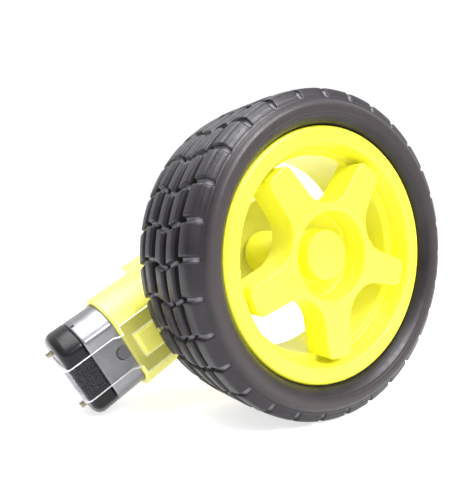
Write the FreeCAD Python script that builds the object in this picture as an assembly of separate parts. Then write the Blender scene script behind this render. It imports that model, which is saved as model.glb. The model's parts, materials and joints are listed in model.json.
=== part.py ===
"""Geared drive wheel for a small robot car.

A rubber-tyred wheel on one output of a flat plastic gearmotor with a flat-sided can motor.
The part is built with the motor straight behind the axle and then drooped about the axle,
so that it stands as it does on a table: on its tyre and on the end cap of the motor.

Row frame: origin on the axle where the free shaft leaves the gearbox's inner face,
+Y along the axle away from the wheel, +Z up, -X towards the motor's end.
"""
import FreeCAD, Part
import math
import os

os.makedirs("parts", exist_ok=True)

V = FreeCAD.Vector

# ---- driving dimensions, in millimetres ------------------------------------------------

# wheel: "out" is measured from the tyre's middle plane towards its outer side
TYRE_R = 32.5            # outer radius
TREAD_HALF = 10.1        # half the tread's width
TREAD_EDGE_R = 32.2      # radius at the tread's edge
CROWN_OUT = 6.0          # the tread is flat from here inwards
SHOULDER_R = 30.2        # where the shoulder meets the sidewall
SHOULDER_OUT = 11.1
SIDE_R = 28.8            # where the sidewall bulges furthest
SIDE_OUT = 12.4
TYRE_SKIN = 2.6          # rubber thickness under the tread
TREAD_PITCHES = 30
GROOVE_DEPTH = 1.0
GROOVE_WIDTH = 0.9

RIM_R = 25.2             # outer radius of the rim's flanges
RIM_HALF = 10.2          # half the rim's width
FLANGE_WIDTH = 1.4
SEAT_R = 24.0            # the tyre's bead sits here
BEAD_R = 24.05           # inside of the bead
FACE_R = 22.0            # inner radius of the outer flange's flat face
LEDGE_WALL_R = 21.4      # foot of the wall between that face and the ledge
LEDGE_R = 20.0           # inner radius of the ledge that carries the arms
LEDGE_OUT = 5.4
BARREL_BACK_R = 21.0     # the barrel opens to this at its inner end

ARMS = 5
ARM_PHASE = -13.7        # degrees from +X towards +Z
ARM_TIP_R = 20.4
ARM_TIP_HALF = 2.9
ARM_ROOT_HALF = 3.4      # half width where the arm leaves the centre
ARM_ROOT_R = 12.4
WEB_R = 10.3             # the outline between two arms comes in to here
ARM_CORNER_R = 1.5
STAR_OUT = 9.9           # the arms' outer face
STAR_BACK = 3.0
STAR_WALL = 1.4
RIM_CORE_R = 10.6        # the rim is drawn as boss, centre, arms and barrel, split here

HUB_RECESS_R = 8.8
HUB_FLOOR_OUT = 4.4
BOSS_R = 5.0
BOSS_OUT = 8.1
HUB_BACK = -14.0         # the hub's inner end
HUB_SOCKET_OUT = -5.3    # blind end of the hub's socket

WHEEL_Y = -24.5          # tyre's middle plane, from the gearbox's middle plane

# gearbox: "back" is measured from the axle towards the motor
CASE_HALF_Y = 9.4
CASE_R = 11.25           # half height, and the radius of the motor sleeve
CASE_FRONT = -11.2
CASE_EDGE_R = 1.8
CASE_WALL = 1.5
BODY_BACK = 25.2         # the square body ends and the sleeve begins
SLEEVE_BACK = 37.4
SLEEVE_HALF_Y = 9.3      # the sleeve's flat sides lie a little below the body's
BULKHEAD = (22.1, 24.1)  # wall between the gears and the motor

TAB_LENGTH = 5.6
TAB_HALF_Y = 1.6
TAB_HALF_Z = 5.0
TAB_HOLE_BACK = -13.9
M3_CLEAR_R = 1.55
SIDE_HOLE_BACK = 20.3    # the two through holes that fasten the gearbox
SIDE_HOLE_Z = 8.75
SIDE_BOSS_R = 2.7
PEG_BACK = 11.0
PEG_R = 2.0
PEG_HEIGHT = 2.0
CASE_SCREW_BACK = -8.3
CASE_SCREW_Z = 8.4
CASE_SCREW_BOSS_R = 2.3
SCREW_R = 0.95
SCREW_HEAD_R = 1.8
SCREW_HEAD = 1.2
SCREW_HEAD_Y = 8.0       # the heads sit in counterbores, down to here

LUG = (30.5, 35.2)       # the strap hooks round this
LUG_HALF_Z = 2.6
LUG_HEIGHT = 1.0

# output shaft
SHAFT_R = 2.7
SHAFT_FLAT = 1.85        # half the distance across its two flats
SHAFT_TIP = 18.6         # from the middle plane, both ways
JOURNAL_R = 2.0
STUB_FROM = 5.6
SPIGOT_R = 1.2
SPIGOT_TIP = 14.4
PILOT_R = 0.95
PILOT_DEPTH = 3.5
RUNNING = 0.05           # radial clearance of every plain bearing

# gear train: four reductions on two parallel axles, 4.5 x 2.2 x 2.2 x 2.2
MODULE = 0.75
PINION_TEETH = 10
WHEEL_TEETH = 22
ADDENDUM_SHIFT = 0.35    # profile shift, plus on pinions and minus on wheels
PRESSURE_ANGLE = 20.0
BACKLASH = 0.10
AXLE_GAP = MODULE * (PINION_TEETH + WHEEL_TEETH) / 2
PIN_R = 1.0
PIN_HALF = 8.9

FINAL_WHEEL_Y = (-7.5, -5.3)
LAY_PINION_Y = (-7.6, -5.0)
LAY_WHEEL_Y = (-5.0, -2.85)
MID_PINION_Y = (-5.1, -1.4)
MID_WHEEL_Y = (-1.4, 1.0)
FIRST_PINION_Y = (-1.6, 2.45)

CROWN_TEETH = 36
CROWN_PINION_TEETH = 8
CROWN_MODULE = 0.45
CROWN_DISC_Y = (2.45, 3.9)
CROWN_FACE = (7.4, 8.9)
CROWN_TIP_Y = 1.45
CROWN_TOOTH_TIP = 0.16   # half widths of a crown tooth
CROWN_TOOTH_ROOT = 0.34

# motor
MOTOR_FACE = 24.1
CAN_LENGTH = 20.0
CAN_R = 10.05
CAN_FLAT = 7.55
CAN_WALL = 0.6
NOSE_R = 3.05
NOSE = 1.5
CAP_LENGTH = 5.1
CAP_EDGE_R = 1.5
CAP_SPIGOT = 2.2
TERMINAL_OUT = 1.3       # how far the solder tags stand out of the end cap
TERMINAL_UP = 6.6
ROTOR_SHAFT_R = 1.0
ROTOR_R = 6.0
ROTOR_SPAN = (29.0, 37.4)
MAGNET_R = (6.4, 9.3)
MAGNET_SPAN = (27.0, 39.4)
MAGNET_HALF_ANGLE = 46.0
COMMUTATOR_R = 2.2
COMMUTATOR_SPAN = (39.8, 43.2)
BUSH_R = 2.2
BRUSH_THICK = 0.3

# strap
STRAP_THICK = 0.7
STRAP_HALF_Z = 4.0
STRAP_HEAD_HALF_Z = 6.0
STRAP_HEAD = (27.6, 37.0)
STRAP_STEP = 38.8        # where the strap has come down onto the can
STRAP_WINDOW_GAP = 0.2

MOTOR_BACK = MOTOR_FACE + CAN_LENGTH + CAP_LENGTH
CAN_BACK = MOTOR_FACE + CAN_LENGTH


def droop_angle():
    """Degrees the motor hangs below level when tyre and end cap stand on one floor."""
    back = MOTOR_BACK - CAP_EDGE_R
    low = CAN_R - CAP_EDGE_R
    reach = math.hypot(back, low)
    return math.degrees(math.asin((TYRE_R - CAP_EDGE_R) / reach) - math.atan2(low, back))


# ---- helpers ---------------------------------------------------------------------------

def disc(radius, y_from, y_to, x=0.0, z=0.0):
    """Cylinder along the axle's direction."""
    return Part.makeCylinder(radius, y_to - y_from, V(x, y_from, z), V(0, 1, 0))


def rod(radius, back_from, back_to, y=0.0, z=0.0):
    """Cylinder along the motor's axis, placed by its distance behind the axle."""
    return Part.makeCylinder(radius, back_to - back_from, V(-back_from, y, z), V(-1, 0, 0))


def block(back_from, back_to, y_from, y_to, z_from, z_to):
    """Box placed by its distance behind the axle."""
    return Part.makeBox(back_to - back_from, y_to - y_from, z_to - z_from,
                        V(-back_to, y_from, z_from))


def flat_can(radius, flat, back_from, back_to):
    """Cylinder along the motor's axis with two flat sides."""
    return rod(radius, back_from, back_to).common(
        block(back_from, back_to, -flat, flat, -radius, radius))


def fuse_all(shapes):
    joined = shapes[0]
    for shape in shapes[1:]:
        joined = joined.fuse(shape)
    return joined.removeSplitter()


def cut_all(shape, tools):
    for tool in tools:
        shape = shape.cut(tool)
    return shape


def revolve_about_axle(points):
    """Solid of revolution from (radius, y) points joined by straight lines."""
    corners = [V(radius, y, 0) for radius, y in points]
    wire = Part.makePolygon(corners + corners[:1])
    return Part.Face(wire).revolve(V(0, 0, 0), V(0, 1, 0), 360)


def out_to_y(out):
    """Wheel coordinate, outward from the tyre's middle, to the part's y."""
    return WHEEL_Y - out


def polar(radius, degrees, y=0.0):
    angle = math.radians(degrees)
    return V(radius * math.cos(angle), y, radius * math.sin(angle))


# ---- wheel -----------------------------------------------------------------------------

def tyre_profile(skin):
    """Closed outline of the tyre's section, or of its hollow when skin is the rubber's thickness."""
    outer = [(BEAD_R, RIM_HALF - FLANGE_WIDTH), (RIM_R + 0.1, RIM_HALF - FLANGE_WIDTH),
             (RIM_R + 0.3, RIM_HALF), (SIDE_R - 1.4, SIDE_OUT - 0.5), (SIDE_R, SIDE_OUT),
             (SIDE_R + 1.3, SIDE_OUT - 0.4), (SHOULDER_R, SHOULDER_OUT),
             (TREAD_EDGE_R, TREAD_HALF), (TYRE_R, CROWN_OUT)]
    if skin:
        outer = [(BEAD_R, RIM_HALF - FLANGE_WIDTH - skin), (SIDE_R - 1.0, SIDE_OUT - skin - 0.6),
                 (TYRE_R - skin, TREAD_HALF - 1.5)]
    mirrored = [(radius, -out) for radius, out in reversed(outer)]
    return [(radius, out_to_y(out)) for radius, out in outer + mirrored]


def tyre():
    body = revolve_about_axle(tyre_profile(0)).cut(revolve_about_axle(tyre_profile(TYRE_SKIN)))
    grooves = []
    for index in range(TREAD_PITCHES):
        groove = Part.makeBox(GROOVE_DEPTH * 2, 2 * TREAD_HALF + 4, GROOVE_WIDTH,
                              V(TYRE_R - GROOVE_DEPTH, WHEEL_Y - TREAD_HALF - 2, -GROOVE_WIDTH / 2))
        groove.rotate(V(0, 0, 0), V(0, 1, 0), 360.0 * index / TREAD_PITCHES)
        grooves.append(groove)
    return body.cut(Part.makeCompound(grooves))


def tyre_foam():
    """Soft ring that fills the tyre's hollow."""
    gap = 0.15
    section = [(radius - gap if radius > BEAD_R else radius, y)
               for radius, y in tyre_profile(TYRE_SKIN)]
    middle = out_to_y(0)
    pulled = [(radius, y - math.copysign(gap, y - middle)) for radius, y in section]
    return revolve_about_axle(pulled)


def star_outline(inset):
    """Face of the five-armed star, its edge moved inwards by inset."""
    half_step = 180.0 / ARMS
    edges = []
    for index in range(ARMS):
        middle = ARM_PHASE + index * 2 * half_step
        along = polar(1, middle)
        across = polar(1, middle + 90)
        root_a = along * ARM_ROOT_R - across * ARM_ROOT_HALF
        tip_a = along * ARM_TIP_R - across * ARM_TIP_HALF
        tip_b = along * ARM_TIP_R + across * ARM_TIP_HALF
        root_b = along * ARM_ROOT_R + across * ARM_ROOT_HALF
        next_middle = middle + 2 * half_step
        next_root = polar(1, next_middle) * ARM_ROOT_R - polar(1, next_middle + 90) * ARM_ROOT_HALF
        edges += [Part.makeLine(root_a, tip_a), Part.makeLine(tip_a, tip_b),
                  Part.makeLine(tip_b, root_b),
                  Part.Arc(root_b, polar(WEB_R, middle + half_step), next_root).toShape()]
    face = Part.Face(Part.Wire(edges))
    if inset:
        face = face.makeOffset2D(-inset)
    return face


def star_prism(inset, out_from, out_to):
    """The star as a solid between two heights, its arms' corners rounded."""
    face = star_outline(inset)
    face.translate(V(0, out_to_y(out_to), 0))
    prism = face.extrude(V(0, out_to - out_from, 0))
    corner = max(ARM_CORNER_R - inset, 0.3)
    tip = ARM_TIP_R - inset
    uprights = []
    for edge in prism.Edges:
        ends = [vertex.Point for vertex in edge.Vertexes]
        upright = len(ends) == 2 and abs(ends[0].y - ends[1].y) > 0.99 * (out_to - out_from)
        if upright and math.hypot(ends[0].x, ends[0].z) > tip - 0.5:
            uprights.append(edge)
    return prism.makeFillet(corner, uprights)


def rim_barrel():
    """Ring with two flanges for the tyre, and a ledge inside that carries the arms."""
    half = RIM_HALF
    lip = half - FLANGE_WIDTH
    section = [(BARREL_BACK_R, -half), (RIM_R, -half), (RIM_R, -lip), (SEAT_R, -lip),
               (SEAT_R, lip), (RIM_R, lip), (RIM_R, half - 0.5), (RIM_R - 0.6, half),
               (FACE_R, half), (FACE_R - 0.3, half - 0.4), (LEDGE_WALL_R, LEDGE_OUT),
               (LEDGE_R, LEDGE_OUT)]
    return revolve_about_axle([(radius, out_to_y(out)) for radius, out in section])


def star_cup():
    """Star with a wall all round its edge, open at the back."""
    inside = star_prism(STAR_WALL, STAR_BACK, STAR_OUT - STAR_WALL)
    return star_prism(0, STAR_BACK, STAR_OUT).cut(inside)


def rim_arms(cup, barrel):
    core = disc(RIM_CORE_R, out_to_y(STAR_OUT + 1), out_to_y(STAR_BACK - 1))
    return cup.cut(core).cut(barrel)


def rim_centre(cup, boss):
    """Middle of the star, sunk to a round recess with the boss standing in it."""
    top, floor = out_to_y(STAR_OUT), out_to_y(HUB_FLOOR_OUT)
    core = cup.common(disc(RIM_CORE_R, top - 1, out_to_y(STAR_BACK - 1)))
    well = disc(HUB_RECESS_R + 1.3, top, out_to_y(HUB_FLOOR_OUT - 1.5))
    return core.fuse(well).cut(disc(HUB_RECESS_R, top - 1, floor)).cut(boss).removeSplitter()


def rim_boss():
    """Round boss from the recess to the gearbox, with the blind socket for the shaft."""
    socket = double_d(out_to_y(HUB_SOCKET_OUT), out_to_y(HUB_BACK) + 1, RUNNING / 2)
    socket.rotate(V(0, 0, 0), V(0, 1, 0), -droop_angle())
    return disc(BOSS_R, out_to_y(BOSS_OUT), out_to_y(HUB_BACK)).cut(socket)


def double_d(y_from, y_to, extra=0.0):
    """Round bar along the axle with two flats."""
    flat = SHAFT_FLAT + extra
    bar = disc(SHAFT_R + extra, y_from, y_to)
    slab = Part.makeBox(4 * SHAFT_R, y_to - y_from, 2 * flat, V(-2 * SHAFT_R, y_from, -flat))
    return bar.common(slab)


# ---- gears -----------------------------------------------------------------------------

def involute(angle):
    return math.tan(angle) - angle


def tooth_half_angle(radius, teeth, module, shift):
    """Half the angle a tooth covers at a radius, in radians."""
    alpha = math.radians(PRESSURE_ANGLE)
    pitch_r = module * teeth / 2
    base_r = pitch_r * math.cos(alpha)
    thickness = module * (math.pi / 2 + 2 * shift * math.tan(alpha)) - BACKLASH
    at = math.acos(min(1.0, base_r / max(radius, base_r)))
    return thickness / (2 * pitch_r) + involute(alpha) - involute(at)


def gear_outline(teeth, module, shift, phase):
    """Wire of a spur gear in the XZ plane, with one tooth pointing at phase degrees."""
    pitch_r = module * teeth / 2
    base_r = pitch_r * math.cos(math.radians(PRESSURE_ANGLE))
    tip_r = pitch_r + module * (1 + shift)
    root_r = pitch_r - module * (1.25 - shift)
    start_r = max(base_r, root_r)
    middle_r = (start_r + tip_r) / 2
    step = 360.0 / teeth

    def flank(radius, side, centre):
        half = math.degrees(tooth_half_angle(radius, teeth, module, shift))
        return polar(radius, centre + side * half)

    root_half = math.degrees(tooth_half_angle(start_r, teeth, module, shift))
    edges = []
    for index in range(teeth):
        centre = phase + index * step
        root_a = polar(root_r, centre - root_half)
        root_b = polar(root_r, centre + root_half)
        edges.append(Part.makeLine(root_a, flank(start_r, -1, centre)))
        edges.append(Part.Arc(flank(start_r, -1, centre), flank(middle_r, -1, centre),
                              flank(tip_r, -1, centre)).toShape())
        edges.append(Part.Arc(flank(tip_r, -1, centre), polar(tip_r, centre),
                              flank(tip_r, 1, centre)).toShape())
        edges.append(Part.Arc(flank(tip_r, 1, centre), flank(middle_r, 1, centre),
                              flank(start_r, 1, centre)).toShape())
        edges.append(Part.makeLine(flank(start_r, 1, centre), root_b))
        next_a = polar(root_r, centre + step - root_half)
        edges.append(Part.Arc(root_b, polar(root_r, centre + step / 2), next_a).toShape())
    return Part.Wire(edges)


def spur_gear(teeth, shift, phase, span, back):
    """Spur gear on an axle parallel to the output shaft."""
    face = Part.Face(gear_outline(teeth, MODULE, shift, phase))
    face.translate(V(-back, span[0], 0))
    return face.extrude(V(0, span[1] - span[0], 0))


def wheel_gear(phase, span, back):
    return spur_gear(WHEEL_TEETH, -ADDENDUM_SHIFT, phase, span, back)


def pinion_gear(phase, span, back):
    return spur_gear(PINION_TEETH, ADDENDUM_SHIFT, phase, span, back)


PINION_GAP = 180.0 / PINION_TEETH     # turns a pinion from tooth to gap


def output_shaft():
    """Wheel-side shaft with the final gear moulded on it."""
    gear = wheel_gear(180.0, FINAL_WHEEL_Y, 0.0)
    inside = FINAL_WHEEL_Y[0] - 0.1
    body = fuse_all([gear, double_d(-SHAFT_TIP, -CASE_HALF_Y), disc(SHAFT_R, -CASE_HALF_Y, inside),
                     disc(SHAFT_R + 0.9, inside, FINAL_WHEEL_Y[0]),
                     disc(JOURNAL_R, FINAL_WHEEL_Y[1], STUB_FROM),
                     disc(SPIGOT_R, STUB_FROM, SPIGOT_TIP)])
    return body.cut(disc(PILOT_R, -SHAFT_TIP, -SHAFT_TIP + PILOT_DEPTH))


def free_shaft_stub():
    """Inner end of the output shaft, pressed on its spigot."""
    body = fuse_all([disc(SHAFT_R, STUB_FROM, CASE_HALF_Y), double_d(CASE_HALF_Y, SHAFT_TIP)])
    return cut_all(body, [disc(SPIGOT_R, STUB_FROM, SPIGOT_TIP),
                          disc(PILOT_R, SPIGOT_TIP - 0.1, SHAFT_TIP)])


def middle_gear():
    """Compound gear that rides freely on the output shaft."""
    body = fuse_all([wheel_gear(180.0, MID_WHEEL_Y, 0.0),
                     pinion_gear(180.0 + PINION_GAP, MID_PINION_Y, 0.0),
                     disc(SHAFT_R, MID_WHEEL_Y[1], STUB_FROM - 0.2)])
    return body.cut(disc(JOURNAL_R + RUNNING, MID_PINION_Y[0], STUB_FROM))


def lay_gear():
    """Compound gear on the steel pin, next to the final gear."""
    body = fuse_all([wheel_gear(0.0, LAY_WHEEL_Y, AXLE_GAP),
                     pinion_gear(PINION_GAP, LAY_PINION_Y, AXLE_GAP)])
    return body.cut(disc(PIN_R + RUNNING, LAY_PINION_Y[0], LAY_WHEEL_Y[1], -AXLE_GAP))


def crown_tooth(angle):
    """One tooth of the crown gear, standing on the disc and pointing at the motor pinion."""
    inner, outer = CROWN_FACE
    root_y = CROWN_DISC_Y[0] + 0.1
    section = [V(-inner, root_y, -CROWN_TOOTH_ROOT), V(-inner, CROWN_TIP_Y, -CROWN_TOOTH_TIP),
               V(-inner, CROWN_TIP_Y, CROWN_TOOTH_TIP), V(-inner, root_y, CROWN_TOOTH_ROOT)]
    tooth = Part.Face(Part.makePolygon(section + section[:1])).extrude(V(inner - outer, 0, 0))
    tooth.rotate(V(0, 0, 0), V(0, 1, 0), angle)
    tooth.translate(V(-AXLE_GAP, 0, 0))
    return tooth


def crown_gear():
    """Crown gear that turns the drive through a right angle, with its pinion."""
    step = 360.0 / CROWN_TEETH
    teeth = [crown_tooth((index + 0.5) * step) for index in range(CROWN_TEETH)]
    body = disc(CROWN_FACE[1] + 0.1, *CROWN_DISC_Y, x=-AXLE_GAP)
    body = body.fuse(teeth + [pinion_gear(PINION_GAP, FIRST_PINION_Y, AXLE_GAP)]).removeSplitter()
    return body.cut(disc(PIN_R + RUNNING, FIRST_PINION_Y[0], CROWN_DISC_Y[1], -AXLE_GAP))


def idler_pin():
    return disc(PIN_R, -PIN_HALF, PIN_HALF, -AXLE_GAP)


def motor_pinion():
    """Small pinion on the motor's shaft."""
    wire = gear_outline(CROWN_PINION_TEETH, CROWN_MODULE, 0.0, 90.0)
    teeth = Part.Face(wire).extrude(V(0, 3.0, 0))
    teeth.rotate(V(0, 0, 0), V(0, 0, 1), 90)
    teeth.translate(V(-19.2, 0, 0))
    return teeth.cut(rod(ROTOR_SHAFT_R, 19.0, 22.4))


# ---- gearbox case ----------------------------------------------------------------------

def case_outside():
    body = block(CASE_FRONT, BODY_BACK, -CASE_HALF_Y, CASE_HALF_Y, -CASE_R, CASE_R)
    along_y = [edge for edge in body.Edges
               if abs(edge.Vertexes[0].Point.y - edge.Vertexes[1].Point.y) > 1
               and edge.Vertexes[0].Point.x > 0]
    body = body.makeFillet(CASE_EDGE_R, along_y)
    sleeve = flat_can(CASE_R, SLEEVE_HALF_Y, BODY_BACK - 1, SLEEVE_BACK)
    tab = block(CASE_FRONT - TAB_LENGTH, CASE_FRONT + 1, -TAB_HALF_Y, TAB_HALF_Y,
                -TAB_HALF_Z, TAB_HALF_Z)
    tab_corners = [edge for edge in tab.Edges
                   if abs(edge.Vertexes[0].Point.y - edge.Vertexes[1].Point.y) > 1
                   and edge.Vertexes[0].Point.x > -CASE_FRONT + 1]
    tab = tab.makeFillet(2.2, tab_corners)
    lugs = [block(*LUG, side * SLEEVE_HALF_Y - LUG_HEIGHT, side * SLEEVE_HALF_Y + LUG_HEIGHT,
                  -LUG_HALF_Z, LUG_HALF_Z) for side in (-1, 1)]
    peg = disc(PEG_R, CASE_HALF_Y - 1, CASE_HALF_Y + PEG_HEIGHT, -PEG_BACK)
    return fuse_all([body, sleeve, tab, peg] + lugs)


def case_hollow():
    """Space for the gears, bored bosses left standing, and the motor's socket."""
    inner_y = CASE_HALF_Y - CASE_WALL
    inner_z = CASE_R - CASE_WALL
    room = block(CASE_FRONT + CASE_WALL, BULKHEAD[0], -inner_y, inner_y, -inner_z, inner_z)
    bosses = [disc(SIDE_BOSS_R, -CASE_HALF_Y, CASE_HALF_Y, -SIDE_HOLE_BACK, side * SIDE_HOLE_Z)
              for side in (-1, 1)]
    bosses += [disc(CASE_SCREW_BOSS_R, -CASE_HALF_Y, CASE_HALF_Y,
                    -CASE_SCREW_BACK, side * CASE_SCREW_Z) for side in (-1, 1)]
    bosses.append(disc(2.2, CROWN_DISC_Y[1] + 0.3, CASE_HALF_Y, -AXLE_GAP))
    bosses.append(disc(SHAFT_R + 1.3, STUB_FROM + 0.5, CASE_HALF_Y))
    room = cut_all(room, bosses)
    socket = flat_can(CAN_R + RUNNING, CAN_FLAT + RUNNING, BULKHEAD[1], SLEEVE_BACK)
    return [room, socket, rod(NOSE_R + RUNNING, BULKHEAD[0] - 0.5, BULKHEAD[1] + 0.5)]


def case_holes():
    beyond = CASE_HALF_Y + 1
    holes = [disc(M3_CLEAR_R, -beyond, beyond, -SIDE_HOLE_BACK, side * SIDE_HOLE_Z)
             for side in (-1, 1)]
    holes.append(disc(M3_CLEAR_R, -beyond, beyond, -TAB_HOLE_BACK))
    holes.append(disc(SHAFT_R + RUNNING, -beyond, beyond))
    holes.append(disc(PIN_R, -PIN_HALF, PIN_HALF, -AXLE_GAP))
    for side in (-1, 1):
        at = (-CASE_SCREW_BACK, side * CASE_SCREW_Z)
        holes.append(disc(SCREW_R, -6.0, CASE_HALF_Y, *at))
        holes.append(disc(SCREW_HEAD_R + 0.1, SCREW_HEAD_Y, beyond, *at))
    return holes


def case_halves():
    """Wheel-side half and inner half, split in the middle plane."""
    whole = cut_all(case_outside(), case_hollow() + case_holes())
    reach = 80
    near = Part.makeBox(2 * reach, reach, 2 * reach, V(-reach, -reach, -reach))
    far = Part.makeBox(2 * reach, reach, 2 * reach, V(-reach, 0, -reach))
    return whole.common(near), whole.common(far)


def case_screws():
    """Two self-tapping screws that close the front of the gearbox."""
    screws = []
    top = SCREW_HEAD_Y + SCREW_HEAD
    for side in (-1, 1):
        x, z = -CASE_SCREW_BACK, side * CASE_SCREW_Z
        shank = disc(SCREW_R, -5.6, SCREW_HEAD_Y + 0.1, x, z)
        screw = shank.fuse(disc(SCREW_HEAD_R, SCREW_HEAD_Y, top, x, z)).removeSplitter()
        slots = [Part.makeBox(2.4, 0.6, 0.45, V(x - 1.2, top - 0.6, z - 0.225)),
                 Part.makeBox(0.45, 0.6, 2.4, V(x - 0.225, top - 0.6, z - 1.2))]
        screws.append(cut_all(screw, slots))
    return Part.makeCompound(screws)


# ---- motor -----------------------------------------------------------------------------

def motor_can():
    shell = flat_can(CAN_R, CAN_FLAT, MOTOR_FACE, CAN_BACK).cut(
        flat_can(CAN_R - CAN_WALL, CAN_FLAT - CAN_WALL, MOTOR_FACE + CAN_WALL, CAN_BACK))
    nose = rod(NOSE_R, MOTOR_FACE - NOSE, MOTOR_FACE + 0.1)
    bore = rod(BUSH_R, MOTOR_FACE - NOSE, MOTOR_FACE + CAN_WALL)
    return shell.fuse(nose).removeSplitter().cut(bore)


def motor_end_cap():
    outer = flat_can(CAN_R, CAN_FLAT, CAN_BACK, MOTOR_BACK)
    rear = [edge for edge in outer.Edges
            if min(vertex.Point.x for vertex in edge.Vertexes) < -MOTOR_BACK + 0.01
            and max(vertex.Point.x for vertex in edge.Vertexes) < -MOTOR_BACK + 0.01]
    outer = outer.makeFillet(CAP_EDGE_R, rear)
    spigot = flat_can(CAN_R - CAN_WALL, CAN_FLAT - CAN_WALL, CAN_BACK - CAP_SPIGOT, CAN_BACK + 0.1)
    body = outer.fuse(spigot).removeSplitter()
    room = flat_can(CAN_R - 1.8, CAN_FLAT - 1.6, CAN_BACK - CAP_SPIGOT, CAN_BACK + 1.6)
    slots = [terminal_bar(side, CAN_BACK, MOTOR_BACK) for side in (-1, 1)]
    return cut_all(body, [room, rod(BUSH_R, CAN_BACK + 1.5, MOTOR_BACK - 1.0),
                          rod(ROTOR_SHAFT_R + 0.3, MOTOR_BACK - 1.1, MOTOR_BACK)] + slots)


def terminal_bar(side, back_from, back_to):
    middle = side * TERMINAL_UP
    return block(back_from, back_to, -1.3, 1.3, middle - 0.2, middle + 0.2)


def terminals():
    """Two short solder tags through the end cap, each with an eye."""
    tags = []
    for side in (-1, 1):
        tag = terminal_bar(side, CAN_BACK + 1.6, MOTOR_BACK + TERMINAL_OUT)
        foot = V(-MOTOR_BACK - TERMINAL_OUT / 2, 0, side * TERMINAL_UP - 1)
        tags.append(tag.cut(Part.makeCylinder(0.35, 2, foot, V(0, 0, 1))))
    return Part.makeCompound(tags)


def brushes():
    """Two spring arms that press on the commutator."""
    arms = []
    touch = COMMUTATOR_R + 0.06
    foot_back = CAN_BACK + 1.6
    for side in (-1, 1):
        low, high = sorted((side * touch, side * (touch + BRUSH_THICK)))
        arm = block(COMMUTATOR_SPAN[0] + 0.8, foot_back, -1.2, 1.2, low, high)
        low, high = sorted((side * touch, side * 7.4))
        foot = block(foot_back - BRUSH_THICK, foot_back, -1.2, 1.2, low, high)
        arms.append(arm.fuse(foot).removeSplitter())
    return Part.makeCompound(arms)


def bushing(back_from, back_to):
    return rod(BUSH_R, back_from, back_to).cut(rod(ROTOR_SHAFT_R + RUNNING, back_from, back_to))


def magnets():
    """Two curved magnets inside the round sides of the can."""
    ring = rod(MAGNET_R[1], *MAGNET_SPAN).cut(rod(MAGNET_R[0], *MAGNET_SPAN))
    arcs = []
    for side in (1, -1):
        wedge = Part.makeCylinder(12, MAGNET_SPAN[1] - MAGNET_SPAN[0], V(-MAGNET_SPAN[0], 0, 0),
                                  V(-1, 0, 0), 2 * MAGNET_HALF_ANGLE)
        middle = wedge.CenterOfMass
        wedge.rotate(V(0, 0, 0), V(1, 0, 0), -math.degrees(math.atan2(middle.z, middle.y)) + side * 90)
        arcs.append(ring.common(wedge))
    return Part.makeCompound(arcs)


def armature_core():
    """Three-pole laminated core."""
    length = ROTOR_SPAN[1] - ROTOR_SPAN[0]
    head = rod(ROTOR_R, *ROTOR_SPAN).cut(rod(ROTOR_R - 1.0, *ROTOR_SPAN))
    poles = [rod(2.4, *ROTOR_SPAN)]
    for index in range(3):
        limb = block(*ROTOR_SPAN, -0.9, 0.9, 0, ROTOR_R - 0.5)
        wedge = Part.makeCylinder(ROTOR_R + 1, length, V(-ROTOR_SPAN[0], 0, 0), V(-1, 0, 0), 92)
        middle = wedge.CenterOfMass
        wedge.rotate(V(0, 0, 0), V(1, 0, 0), -math.degrees(math.atan2(middle.z, middle.y)) + 90)
        pole = limb.fuse(head.common(wedge))
        pole.rotate(V(0, 0, 0), V(1, 0, 0), 120 * index)
        poles.append(pole)
    return fuse_all(poles).cut(rod(ROTOR_SHAFT_R, *ROTOR_SPAN))


def windings():
    """Three coils, one round each limb of the core."""
    coils = []
    for index in range(3):
        outer = block(ROTOR_SPAN[0] - 1.0, ROTOR_SPAN[1] + 1.0, -2.1, 2.1, 2.75, ROTOR_R - 1.55)
        coil = outer.cut(block(ROTOR_SPAN[0] - 0.02, ROTOR_SPAN[1] + 0.02, -0.92, 0.92, 0, ROTOR_R))
        coil.rotate(V(0, 0, 0), V(1, 0, 0), 120 * index)
        coils.append(coil)
    return Part.makeCompound(coils)


def commutator():
    body = rod(COMMUTATOR_R, *COMMUTATOR_SPAN).cut(rod(ROTOR_SHAFT_R, *COMMUTATOR_SPAN))
    gaps = []
    for index in range(3):
        gap = block(*COMMUTATOR_SPAN, -0.15, 0.15, COMMUTATOR_R - 0.4, COMMUTATOR_R + 1)
        gap.rotate(V(0, 0, 0), V(1, 0, 0), 120 * index + 60)
        gaps.append(gap)
    return cut_all(body, gaps)


def rotor_shaft():
    return rod(ROTOR_SHAFT_R, 19.2, MOTOR_BACK - 0.6)


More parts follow.
